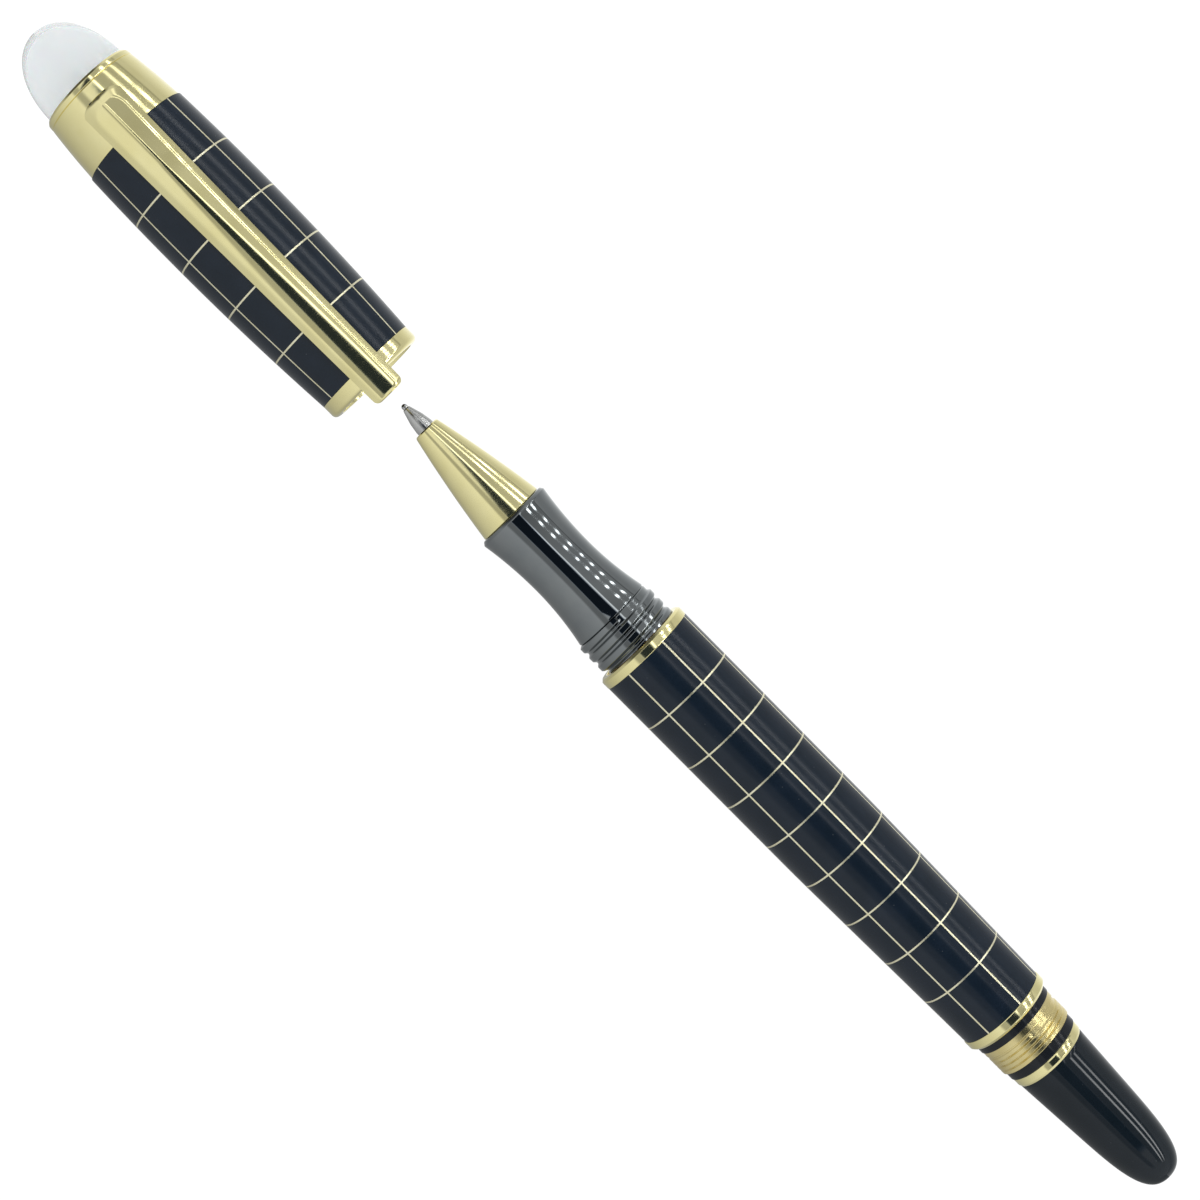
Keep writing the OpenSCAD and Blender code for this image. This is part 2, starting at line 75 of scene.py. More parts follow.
def finish_mesh(bm, name, material, body, slot, replaces=(), sharp=SHARP):
    """Turns a bmesh into a smooth piece that rides on a body and stands for CAD nodes."""
    bmesh.ops.recalc_face_normals(bm, faces=bm.faces)
    mesh = bpy.data.meshes.new(name)
    bm.to_mesh(mesh)
    bm.free()
    for polygon in mesh.polygons:
        polygon.use_smooth = True
    mesh.set_sharp_from_angle(angle=sharp)
    mesh.materials.append(material)
    piece = bpy.data.objects.new(name, mesh)
    bpy.context.scene.collection.objects.link(piece)
    weighted = piece.modifiers.new("weighted", "WEIGHTED_NORMAL")
    weighted.keep_sharp = True
    weighted.weight = 80
    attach(piece, body)
    if replaces:
        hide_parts(*replaces)
    return piece


def soften(points, radius, steps=4, closed=True):
    """Rounds the corners of an outline of (r, x) points with arcs no bigger than radius."""
    result = []
    count = len(points)
    for i, p in enumerate(points):
        if not closed and i in (0, count - 1):
            result.append(p)
            continue
        here, before, after = Vector(p), Vector(points[i - 1]), Vector(points[(i + 1) % count])
        a, b = before - here, after - here
        if a.length < TINY or b.length < TINY:
            continue
        turn = math.pi - a.angle(b)
        if turn < math.radians(20) or here.x < TINY:
            result.append(p)
            continue
        back = min(radius * math.tan(turn / 2), 0.4 * a.length, 0.4 * b.length)
        r = back / math.tan(turn / 2)
        centre = here + (a.normalized() + b.normalized()).normalized() * math.hypot(r, back)
        start, end = here + a.normalized() * back - centre, here + b.normalized() * back - centre
        for k in range(steps + 1):
            t = k / steps
            v = start * (1 - t) + end * t
            result.append(tuple(centre + v.normalized() * r))
    return result


def curve(f, a, b, steps):
    """Points (r, x) of an outline that follows r = f(x)."""
    return [(f(a + (b - a) * i / steps), a + (b - a) * i / steps) for i in range(steps + 1)]


def closing(f, a, b, steps):
    """The same, with the steps drawn closer together towards b, where the outline meets the axis."""
    xs = [a + (b - a) * math.sin(math.pi / 2 * i / steps) for i in range(steps)]
    return [(f(x), x) for x in xs] + [(0, b)]


def lathe(name, outline, material, body, slot, replaces=(), cap=False, segments=SEGMENTS):
    """A turned piece: its closed outline of (r, x) points is revolved about the pen's axis."""
    bm = bmesh.new()
    rings = []
    for r, x in outline:
        if r < TINY:
            rings.append([bm.verts.new(place(x, 0, 0, cap))] * segments)
            continue
        angles = (2 * math.pi * k / segments for k in range(segments))
        rings.append([bm.verts.new(place(x, r, a, cap)) for a in angles])
    for ring, following in zip(rings, rings[1:] + rings[:1]):
        for k in range(segments):
            n = (k + 1) % segments
            corners = []
            for v in (ring[k], ring[n], following[n], following[k]):
                if v not in corners:
                    corners.append(v)
            if len(corners) > 2:
                bm.faces.new(corners)
    return finish_mesh(bm, name, material, body, slot, replaces)


def threaded(name, span_x, root, crest, pitch, start, turns, fullness, bore, material, body, slot, replaces):
    """A sleeve with a helical ridge, whose skin is a height field round the axis.

    A fuller ridge has a wider top.
    """
    a, b = span_x
    row_gap, fade_turns = 0.045, 0.3
    rows = int((b - a) / row_gap)
    segments = SEGMENTS
    bm = bmesh.new()
    skin = []
    for i in range(rows + 1):
        x = a + (b - a) * i / rows
        ring = []
        for k in range(segments):
            turn = k / segments
            t = (x - start) / pitch - turn
            along = min(max(t, 0), turns)
            phase = t - math.floor(t)
            rise = min(1, fullness * max(0, 1 - 2.1 * abs(phase - 0.5)))
            rise = rise * rise * (3 - 2 * rise)
            lead = max(0, min(1, along / fade_turns, (turns - along) / fade_turns))
            height = root(x) + (crest - root(x)) * rise * lead
            ring.append(bm.verts.new(place(x, height, 2 * math.pi * turn)))
        skin.append(ring)
    turns_round = [2 * math.pi * k / segments for k in range(segments)]
    rings = skin + [[bm.verts.new(place(x, bore, angle)) for angle in turns_round] for x in (b, a)]
    for ring, following in zip(rings, rings[1:] + rings[:1]):
        for k in range(segments):
            n = (k + 1) % segments
            bm.faces.new((ring[k], ring[n], following[n], following[k]))
    return finish_mesh(bm, name, material, body, slot, replaces, sharp=math.radians(50))


STRIPES = 7
FIELD_STEPS = 22


def line_angles(turn, width, radius):
    """Angles round a tube, as (angle, starts a line), for evenly spaced lines of a width."""
    half = width / radius / 2
    result = []
    for s in range(STRIPES):
        centre = math.radians(turn) + 2 * math.pi * s / STRIPES
        field = 2 * math.pi / STRIPES - 2 * half
        result.append((centre - half, True))
        result.extend((centre + half + field * k / FIELD_STEPS, False) for k in range(FIELD_STEPS))
    return result


def line_places(a, b, cell, cells, width, steps):
    """Places along a tube, as (place, starts a line), for hoops of a width that stand a cell apart."""
    result = []
    for c in range(cells):
        left = a + cell * c + (width / 2 if c else 0)
        right = a + cell * (c + 1) - width / 2 if c < cells - 1 else b
        result.extend((left + (right - left) * k / steps, False) for k in range(steps))
        result.append((right, True))
    return result


def lined_tube(radius, ends, cell, cells, turn, width, depth, bore, steps, body, nodes, cap=False):
    """A lacquered tube with a grid of grooves, and the gold inlay that stands in them."""
    thetas = line_angles(turn, width, radius((ends[0] + ends[1]) / 2))
    places = line_places(ends[0], ends[1], cell, cells, width, steps)
    for piece, kind, on_line in ((nodes[0], "tube", False), (nodes[1], "inlay", True)):
        bm = bmesh.new()
        made = {}

        def corner(i, j, level):
            i %= len(thetas)
            if (i, j, level) not in made:
                x = places[j][0]
                r = {"floor": radius(x) - depth, "bore": bore}.get(level, radius(x))
                made[(i, j, level)] = bm.verts.new(place(x, r, thetas[i][0], cap))
            return made[(i, j, level)]

        def level(i, j):
            """The level of the skin over a cell, or None where this piece has none."""
            if j < 0 or j >= len(places) - 1:
                return None
            line = thetas[i % len(thetas)][1] or places[j][1]
            if kind == "tube":
                return "floor" if line else "field"
            return "line" if line else None

        base = "bore" if kind == "tube" else "floor"
        for j in range(len(places) - 1):
            for i in range(len(thetas)):
                top = level(i, j)
                if top is None:
                    continue
                for z in (top, base):
                    bm.faces.new([
                        corner(i, j, z), corner(i + 1, j, z), corner(i + 1, j + 1, z), corner(i, j + 1, z)])
                for (ni, nj), edge in (
                    ((i + 1, j), ((i + 1, j), (i + 1, j + 1))),
                    ((i - 1, j), ((i, j), (i, j + 1))),
                    ((i, j - 1), ((i, j), (i + 1, j))),
                    ((i, j + 1), ((i, j + 1), (i + 1, j + 1))),
                ):
                    other = level(ni, nj)
                    if other == top or (kind == "tube" and top == "floor" and other == "field"):
                        continue
                    down = [top] + (["floor"] if top == "field" else []) + ([] if other else [base])
                    p, q = edge
                    for high, low in zip(down, down[1:]):
                        bm.faces.new([corner(*p, high), corner(*q, high), corner(*q, low), corner(*p, low)])
        material, slot = (LACQUER, "black_lacquer") if kind == "tube" else (INLAY, "gold_inlay")
        finish_mesh(bm, piece + "_finish", material, body, slot, [piece], sharp=math.radians(30))


# ---------------------------------------------------------------- material helpers
def add(tree, kind, inputs=None, **settings):
    """A node with its settings, and its inputs set to values or linked to sockets."""
    made = tree.nodes.new(kind)
    for key, value in settings.items():
        setattr(made, key, value)
    for key, value in (inputs or {}).items():
        if isinstance(value, bpy.types.NodeSocket):
            tree.links.new(value, made.inputs[key])
        else:
            made.inputs[key].default_value = value
    return made


def coordinates(tree, scale=(1, 1, 1)):
    """Object coordinates in metres, stretched by a scale."""
    source = add(tree, "ShaderNodeTexCoord").outputs["Object"]
    return add(tree, "ShaderNodeMapping", {"Vector": source, "Scale": scale}).outputs["Vector"]


def noise(tree, vector, scale, detail=3.0, rough=0.55):
    inputs = {"Vector": vector, "Scale": scale, "Detail": detail, "Roughness": rough}
    return add(tree, "ShaderNodeTexNoise", inputs).outputs["Fac"]


def between(tree, fac, low, high, start=0.3, end=0.7):
    """A number that runs from low to high as fac runs from start to end."""
    inputs = {"Value": fac, "From Min": start, "From Max": end, "To Min": low, "To Max": high}
    return add(tree, "ShaderNodeMapRange", inputs).outputs["Result"]


def tint(tree, fac, colours, start=0.3, end=0.7):
    """A colour that runs through the colours as fac runs from start to end."""
    ramp = add(tree, "ShaderNodeValToRGB", {"Fac": fac})
    elements = ramp.color_ramp.elements
    while len(elements) < len(colours):
        elements.new(0.5)
    for i, colour in enumerate(colours):
        elements[i].position = start + (end - start) * i / (len(colours) - 1)
        elements[i].color = (*colour, 1)
    return ramp.outputs["Color"]


def bump(tree, height, distance, strength=1.0, under=None):
    inputs = {"Height": height, "Distance": distance, "Strength": strength}
    if under is not None:
        inputs["Normal"] = under
    return add(tree, "ShaderNodeBump", inputs).outputs["Normal"]


def principled(name, **values):
    """A new material and its tree, with a Principled shader whose sockets are set by name."""
    material = bpy.data.materials.new(name)
    material.use_nodes = True
    tree = material.node_tree
    tree.nodes.clear()
    shader = add(tree, "ShaderNodeBsdfPrincipled")
    output = add(tree, "ShaderNodeOutputMaterial")
    tree.links.new(shader.outputs["BSDF"], output.inputs["Surface"])
    for key, value in values.items():
        shader.inputs[key.replace("_", " ")].default_value = value
    return material, tree, shader


def connect(tree, shader, **sockets):
    for key, socket in sockets.items():
        tree.links.new(socket, shader.inputs[key.replace("_", " ")])


# ---------------------------------------------------------------- materials
def gold_plate(name, colours, roughness):
    """Polished pale gold: faint tarnish, hairlines along the pen and a slight ripple under the plating."""
    material, tree, shader = principled(name, Metallic=1.0)
    cloud = noise(tree, coordinates(tree), 260, 3)
    fine = noise(tree, coordinates(tree), 1200, 3)
    hair = noise(tree, coordinates(tree, (0.05, 1, 1)), 5000, 2)
    ripple = bump(tree, noise(tree, coordinates(tree), 420, 2), 0.0000012)
    connect(
        tree, shader,
        Base_Color=tint(tree, cloud, colours),
        Roughness=between(tree, fine, roughness[0], roughness[1]),
        Normal=bump(tree, hair, 0.0000003, under=ripple),
    )
    return material


def gold_inlay():
    """Gold lines, brushed down with the lacquer round them."""
    material, tree, shader = principled("gold_inlay", Metallic=1.0)
    grain = noise(tree, coordinates(tree, (0.3, 1, 1)), 5200, 4)
    connect(
        tree, shader,
        Base_Color=tint(tree, grain, [(0.84, 0.78, 0.50), (0.97, 0.94, 0.74)]),
        Roughness=between(tree, grain, 0.30, 0.46),
        Normal=bump(tree, grain, 0.000004),
    )
    return material


def specks(tree, scale, size):
    """1 at the middle of small scattered specks and 0 elsewhere."""
    cells = add(tree, "ShaderNodeTexVoronoi", {"Vector": coordinates(tree), "Scale": scale})
    return between(tree, cells.outputs["Distance"], 1, 0, 0.4 * size, size)


def glossy_black(name, base, coat, coat_rough, fleck):
    """Deep gloss black: a clear coat with slight orange peel over a softer ground, with a little dust."""
    material, tree, shader = principled(
        name, Coat_Weight=coat, Coat_Roughness=coat_rough, Coat_IOR=1.45, Specular_IOR_Level=0.0)
    dust = specks(tree, 900, 0.07)
    shade = noise(tree, coordinates(tree), 320, 3)
    mixed = add(
        tree, "ShaderNodeMix",
        {
            "Factor": between(tree, dust, 0, fleck, 0, 1),
            "A": tint(tree, shade, base),
            "B": (0.16, 0.17, 0.18, 1),
        },
        data_type="RGBA")
    peel = bump(tree, noise(tree, coordinates(tree), 1300, 2), 0.0000012)
    connect(
        tree, shader,
        Base_Color=mixed.outputs["Result"],
        Roughness=between(tree, noise(tree, coordinates(tree), 2400, 3), 0.4, 0.6),
        Coat_Normal=peel,
    )
    return material


def gunmetal():
    """Dark grey polished plating with fine wiping marks round the grip."""
    material, tree, shader = principled("gunmetal", Metallic=1.0)
    cloud = noise(tree, coordinates(tree), 300, 3)
    wiped = noise(tree, coordinates(tree, (1, 0.08, 0.08)), 7000, 3)
    connect(
        tree, shader,
        Base_Color=tint(tree, cloud, [(0.205, 0.222, 0.232), (0.235, 0.250, 0.255)]),
        Roughness=between(tree, wiped, 0.03, 0.06),
        Normal=bump(tree, wiped, 0.0000002),
    )
    return material


def turned_metal(name, colours, roughness, groove, pitch):
    """Metal from a lathe: fine rings left by the tool along the pen, and a mottled lustre."""
    material, tree, shader = principled(name, Metallic=1.0)
    rings = add(
        tree, "ShaderNodeTexWave",
        {"Vector": coordinates(tree), "Scale": pitch, "Distortion": 0.6, "Detail": 2.0, "Detail Scale": 3.0},
        wave_type="BANDS", bands_direction="X").outputs["Fac"]
    lustre = noise(tree, coordinates(tree), 900, 4)
    connect(
        tree, shader,
        Base_Color=tint(tree, lustre, colours),
        Roughness=between(tree, lustre, roughness[0], roughness[1]),
        Normal=bump(tree, rings, groove),
    )
    return material


def moulded(name, colours, roughness, subsurface=0.0, painted_glow=0.0):
    """Moulded plastic: a faint bloom in its colour and the fine texture of the mould, and where asked a glow
    that is painted light.
    """
    material, tree, shader = principled(
        name, Specular_IOR_Level=0.5, Subsurface_Weight=subsurface, Subsurface_Scale=0.002,
        Emission_Strength=painted_glow, Emission_Color=(1.0, 1.0, 0.98, 1))
    cloud = noise(tree, coordinates(tree), 500, 4)
    grain = noise(tree, coordinates(tree), 6500, 3)
    connect(
        tree, shader,
        Base_Color=tint(tree, cloud, colours),
        Roughness=between(tree, grain, roughness[0], roughness[1]),
        Normal=bump(tree, grain, 0.000003),
    )
    return material


def ink_fibre():
    """Bundled fibres soaked in ink, running along the pen."""
    material, tree, shader = principled("ink_fibre", Sheen_Weight=0.3, Sheen_Roughness=0.5)
    strands = noise(tree, coordinates(tree, (0.06, 1, 1)), 5200, 4)
    connect(
        tree, shader,
        Base_Color=tint(tree, strands, [(0.012, 0.016, 0.06), (0.05, 0.06, 0.16)]),
        Roughness=between(tree, strands, 0.65, 0.9),
        Normal=bump(tree, strands, 0.00004),
    )
    return material


def clear_acrylic():
    """Polished acrylic with a trace of ripple and a faint cool body colour."""
    material, tree, shader = principled(
        "clear_acrylic", Transmission_Weight=1.0, IOR=1.49, Specular_IOR_Level=0.5)
    cloud = noise(tree, coordinates(tree), 240, 2)
    connect(
        tree, shader,
        Base_Color=tint(tree, cloud, [(0.90, 0.92, 0.935), (0.92, 0.94, 0.95)]),
        Roughness=between(tree, noise(tree, coordinates(tree), 3000, 3), 0.04, 0.09),
        Normal=bump(tree, noise(tree, coordinates(tree), 500, 2), 0.000004),
    )
    return material


GOLD = gold_plate("gold_plate", [(0.90, 0.815, 0.41), (0.95, 0.87, 0.47)], (0.09, 0.13))
WORN_GOLD = gold_plate("worn_gold", [(0.74, 0.61, 0.27), (0.84, 0.73, 0.38)], (0.20, 0.28))
INLAY = gold_inlay()
LACQUER = glossy_black("black_lacquer", [(0.006, 0.0125, 0.022), (0.009, 0.0165, 0.029)], 0.75, 0.18, 0.3)
RESIN = glossy_black("black_resin", [(0.006, 0.011, 0.016), (0.009, 0.014, 0.020)], 0.7, 0.055, 0.2)
BLACK_PLASTIC = glossy_black("black_plastic", [(0.010, 0.012, 0.016), (0.014, 0.016, 0.020)], 0.6, 0.12, 0.2)
GUNMETAL = gunmetal()
BRASS = turned_metal("brass", [(0.60, 0.42, 0.17), (0.72, 0.54, 0.25)], (0.20, 0.34), 0.0000035, 900)
TIP_STEEL = turned_metal("tip_steel", [(0.50, 0.50, 0.49), (0.60, 0.60, 0.59)], (0.20, 0.28), 0.0000001, 2400)
CARBIDE = turned_metal("carbide", [(0.34, 0.35, 0.37), (0.42, 0.43, 0.45)], (0.08, 0.16), 0.0000001, 4000)
SPRING_STEEL = turned_metal(
    "spring_steel", [(0.50, 0.51, 0.53), (0.62, 0.63, 0.65)], (0.18, 0.30), 0.000001, 1500)
REFILL_PLASTIC = moulded("refill_plastic", [(0.080, 0.088, 0.10), (0.11, 0.12, 0.135)], (0.24, 0.36))
PALE_PLASTIC = moulded("pale_plastic", [(0.74, 0.74, 0.69), (0.82, 0.82, 0.78)], (0.36, 0.5), 0.1)
# the frosted core glows faintly: painted light, since it is no lamp
FROSTED_PAINTED_GLOW = moulded("frosted_acrylic", [(0.84, 0.885, 0.91), (0.88, 0.92, 0.94)], (0.5, 0.6), 0.2, 0.25)
INK = ink_fibre()
ACRYLIC = clear_acrylic()

# ---------------------------------------------------------------- section
nose_start, _, _ = span("nose_cone")
core_start, core_end, _ = span("section_core")
grip_start, grip_end, _ = span("section_grip")
WAIST_X, WAIST_R = -12.3, 4.05
GRIP_FRONT_R, GRIP_BACK_R = 4.66, 4.9
NOSE_FRONT_R, NOSE_BACK_R, NOSE_LEAN = 1.6, 4.1, 0.77
CORE_R, CORE_BORE = 3.6, 3.15


def nose_radius(x):
    t = (grip_start - x) / (grip_start - nose_start)
    return NOSE_BACK_R - (NOSE_BACK_R - NOSE_FRONT_R) * (NOSE_LEAN * t + (1 - NOSE_LEAN) * t * t)


def grip_radius(x):
    if x < WAIST_X:
        return WAIST_R + (GRIP_FRONT_R - WAIST_R) * ((x - WAIST_X) / (grip_start + 0.45 - WAIST_X)) ** 2
    return WAIST_R + (GRIP_BACK_R - WAIST_R) * ((x - WAIST_X) / (grip_end - WAIST_X)) ** 2


def make_nose():
    """The gilt nose: a smooth ogive with a small rounded mouth, and a stepped bore that seats the refill."""
    mouth_r, neck_r = 1.22, 2.0
    mouth_x, neck_x = -29, -24
    skin = [(mouth_r, nose_start + 0.02), (NOSE_FRONT_R - 0.12, nose_start)]
    skin += curve(nose_radius, nose_start + 0.16, grip_start - 0.1, 40)
    skin += [(NOSE_BACK_R - 0.1, grip_start), (CORE_R, grip_start), (CORE_R, core_start)]
    skin += [(CORE_BORE, core_start), (CORE_BORE, neck_x)]
    skin += [(neck_r, neck_x), (neck_r, mouth_x), (mouth_r, mouth_x)]
    lathe("nose_cone_finish", soften(skin, 0.08), GOLD, "section", "gold_plate", ["nose_cone"])


def make_grip():
    """The waisted grip, with a soft shoulder in front and a fine groove behind."""
    skin = [(CORE_R, grip_start + 0.02), (GRIP_FRONT_R - 0.3, grip_start + 0.02)]
    skin += [(GRIP_FRONT_R, grip_start + 0.42)]
    skin += curve(grip_radius, grip_start + 0.62, grip_end - 0.12, 60)
    skin += [(GRIP_BACK_R - 0.16, grip_end), (CORE_R, grip_end)]
    lathe("section_grip_finish", soften(skin, 0.22, 6), GUNMETAL, "section", "gunmetal", ["section_grip"])


def make_threads():
    """The cap threads, and the screw of the core that the barrel turns on to."""
    start, end, crest = span("cap_thread_collar")
    root, pitch = 4.88, 1.42

    def collar_root(x):
        return min(root, root - 0.12 + 0.8 * (x - start), root - 0.6 + 1.2 * (end - x))

    threaded("cap_thread_collar_finish", (start, end), collar_root, crest, pitch, start - 0.36 * pitch, 4,
             1.6, CORE_R, GUNMETAL, "section", "gunmetal", ["cap_thread_collar"])
    _, _, screw = span("section_core")

    def core_root(x):
        return CORE_R if x < -0.06 else min(4.3, 4.0 + 1.0 * (core_end - x))

    threaded("section_core_finish", (core_start, core_end), core_root, screw, 1.0, 3.0, 9.5, 1.8,
             CORE_BORE, BRASS, "section", "brass", ["section_core"])


# ---------------------------------------------------------------- refill
tip_start, tip_end, SHANK_R = span("writing_tip")
ball_start, ball_end, BALL_R = span("writing_ball")


def make_point():
    """The steel point, with a cup for the ball and a bore for the wick, and the ball."""
    throat = BALL_R + 0.012
    seat = ball_end - BALL_R
    flank_x, cone_back_x, wick_x, wick_r = -35.5, -34.3, -29, 0.5
    skin = [(0.40, tip_start), (0.47, tip_start + 0.08), (0.92, flank_x), (SHANK_R, cone_back_x)]
    skin += [(SHANK_R, tip_end), (wick_r, tip_end), (wick_r, wick_x), (0, wick_x), (0, seat + throat)]
    for k in range(1, 7):
        a = math.radians(15 * k)
        skin.append((throat * math.sin(a), seat + throat * math.cos(a)))
    skin.append((0.35, tip_start))
    skin = soften(skin, 0.05, 3)
    lathe("writing_tip_finish", skin, TIP_STEEL, "refill", "tip_steel", ["writing_tip"], segments=96)
    bm = bmesh.new()
    bmesh.ops.create_icosphere(bm, subdivisions=5, radius=BALL_R * MM)
    bmesh.ops.translate(bm, vec=place(seat, 0, 0), verts=bm.verts)
    finish_mesh(bm, "writing_ball_finish", CARBIDE, "ball", "carbide", ["writing_ball"])


def make_spring():
    """The spring behind the refill: a wire coil with closed ends."""
    start, end, radius = span("refill_spring")
    wire = 0.2
    turns, per_turn = 4.0, 40
    line = bpy.data.curves.new("refill_spring_finish", "CURVE")
    line.dimensions = "3D"
    line.bevel_depth = wire * MM
    line.bevel_resolution = 5
    line.use_fill_caps = True
    path = line.splines.new("POLY")
    count = int(turns * per_turn)
    path.points.add(count)
    for i in range(count + 1):
        x = start + wire + (end - start - 2 * wire) * i / count
        path.points[i].co = (*place(x, radius - wire, -2 * math.pi * i / per_turn), 1)
    line.materials.append(SPRING_STEEL)
    piece = bpy.data.objects.new("refill_spring_finish", line)
    bpy.context.scene.collection.objects.link(piece)
    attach(piece, "spring")
    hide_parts("refill_spring")


# ---------------------------------------------------------------- barrel
tube_start, tube_end, BARREL_R = span("barrel_tube")
STUD_R, BARREL_BORE = 4.1, 5.1
TAPER_X, BARREL_END_R = 31.5, 5.62
LINE_W, LINE_DEPTH = 0.2, 0.1
BARREL_CELL, BARREL_CELLS, BARREL_TURN = 6.34, 9, 32.5


def barrel_radius(x):
    fall = max(0, x - TAPER_X + 2) ** 2 / 8 if x < TAPER_X + 2 else x - TAPER_X
    return BARREL_R - (BARREL_R - BARREL_END_R) / (tube_end - TAPER_X) * fall


def make_barrel():
    lined_tube(barrel_radius, (tube_start, tube_end), BARREL_CELL, BARREL_CELLS, BARREL_TURN, LINE_W,
               LINE_DEPTH, BARREL_BORE, 4, "barrel", ("barrel_tube", "barrel_grid"))


def ring(node, outer, bevels, inner=STUD_R, material=None, slot="gold_plate", body="barrel", cap=False,
         soft=0.07):
    """A trim ring the length of its CAD node, with a bevel (width, height) at its front and back."""
    start, end, _ = span(node, cap)
    (front_w, front_h), (back_w, back_h) = bevels
    outline = [(inner, start), (outer - front_h, start), (outer, start + front_w)]
    outline += [(outer, end - back_w), (outer - back_h, end), (inner, end)]
    lathe(node + "_finish", soften(outline, soft), material or GOLD, body, slot, [node], cap)


def make_barrel_rings():
    ring("front_ring", BARREL_R + 0.03, ((0.3, 0.3), (0.08, 0.03)), inner=BARREL_BORE)
    ring("rear_ring", BARREL_END_R + 0.1, ((0.1, 0.06), (0.35, 0.3)))
    for node, radius in (("front_spacer", 5.17), ("rear_spacer", 4.87)):
        ring(node, radius, ((0.1, 0.05), (0.1, 0.05)), material=BLACK_PLASTIC, slot="black_plastic")
    ring("tail_ring", 4.77, ((0.25, 0.12), (0.3, 0.12)))
    start, end, crest = span("posting_thread")
    land, pitch, root = 0.75, 0.66, 4.93

    def posting_root(x):
        return crest if x < start + land else max(root, crest - 2.5 * (x - start - land))

    threaded("posting_thread_finish", (start, end), posting_root, crest, pitch, start + land + 0.05, 5,
             2.6, STUD_R, WORN_GOLD, "barrel", "gold_plate", ["posting_thread"])


def make_tail():
    """The gloss black tail cone with its full, rounded end."""
    start, end, _ = span("tail_cone")
    round_x, fullness, slope, base = 74, 4.2, 0.0605, 4.65
    socket_x, socket_end_x, socket_r = 70, 78, 3.3

    def radius(x):
        share = max(0, (x - round_x) / (end - round_x))
        return (base - slope * (x - start)) * max(0, 1 - share**fullness) ** (1 / 3)

    outline = [(STUD_R, start), (base - 0.05, start)] + closing(radius, start + 0.1, end, 70)
    outline += [(0, socket_end_x), (socket_r, socket_end_x), (socket_r, socket_x), (STUD_R, socket_x)]
    lathe("tail_cone_finish", outline, RESIN, "barrel", "black_resin", ["tail_cone"])


# ---------------------------------------------------------------- cap
cap_start, cap_end, _ = span("cap_tube", cap=True)
CAP_R, CAP_WIDE_U, CAP_BOW, CAP_BORE = 7.118, 24.3, 0.0014, 5.6
CAP_CELLS = 5


def cap_radius(u):
    return CAP_R - CAP_BOW * (u - CAP_WIDE_U) ** 2


def make_cap():
    lined_tube(cap_radius, (cap_start, cap_end), (cap_end - cap_start) / CAP_CELLS, CAP_CELLS, 0, LINE_W,
               LINE_DEPTH, CAP_BORE, 8, "cap", ("cap_tube", "cap_grid"), cap=True)


def make_cap_rings():
    """The lip ring, the collar under the clip and the bezel under the dome."""
    lip_r = cap_radius(cap_start)
    bush_r, lip_round, lip_front = 5.3, 0.6, 0.02
    lip = [(bush_r, cap_start), (lip_r, cap_start)]
    for k in range(11):
        a = math.radians(9 * k)
        r = lip_r - lip_round + lip_round * math.cos(a)
        lip.append((r, lip_front + lip_round - lip_round * math.sin(a)))
    lip += [(bush_r, lip_front)]
    lathe("lip_ring_finish", soften(lip, 0.05), GOLD, "cap", "gold_plate", ["lip_ring"], cap=True)
    start, end, front_r = span("clip_collar", cap=True)
    back_r, stud_hole, web_u = 6.1, 1.5, 42.9

    def collar_radius(u):
        t = (u - start) / (end - start)
        return front_r - (front_r - back_r) * (0.6 * t + 0.4 * t * t)

    collar = [(CAP_BORE, start), (front_r - 0.06, start)] + curve(collar_radius, start + 0.08, end - 0.06, 24)
    collar += [(back_r - 0.06, end), (stud_hole, end), (stud_hole, web_u), (CAP_BORE, web_u)]
    lathe("clip_collar_finish", soften(collar, 0.05), GOLD, "cap", "gold_plate", ["clip_collar"], cap=True)
    start, end, _ = span("crown_bezel", cap=True)
    bezel = [(stud_hole, start), (back_r - 0.1, start), (back_r, start + 0.12), (back_r - 0.04, end - 0.3)]
    bezel += [(back_r - 0.28, end), (stud_hole, end)]
    lathe("crown_bezel_finish", soften(bezel, 0.1, 6), GOLD, "cap", "gold_plate", ["crown_bezel"], cap=True)


def make_dome():
    """The clear dome over its pale core."""
    start, end, outer = span("crown_dome", cap=True)
    _, core_end_u, core_r = span("dome_core", cap=True)
    fullness, socket_r, socket_l = 2.1, 1.5, 3

    def shell(r, height):
        return lambda u: r * max(0, 1 - (max(0, u - start) / height) ** fullness) ** (1 / fullness)

    skin = [(0, start + 0.01)] + closing(shell(outer, end - start), start + 0.01, end, 48)
    lathe("crown_dome_finish", skin, ACRYLIC, "cap", "clear_acrylic", ["crown_dome"], cap=True)
    # the core fills the dome a little more than its CAD solid, which leaves only a thin clear rim
    core_r, core_end_u = core_r + 0.2, core_end_u + 0.3
    core = closing(shell(core_r, core_end_u - start), start, core_end_u, 36)
    core[0] = (core_r, start + 0.05)
    core += [(0, start + socket_l), (socket_r, start + socket_l), (socket_r, start + 0.05)]
    # the core's material glows faintly, painted light that brightens it where the clear dome lets little
    # light reach it
    lathe("dome_core_finish", core, FROSTED_PAINTED_GLOW, "cap", "frosted_acrylic", ["dome_core"], cap=True)


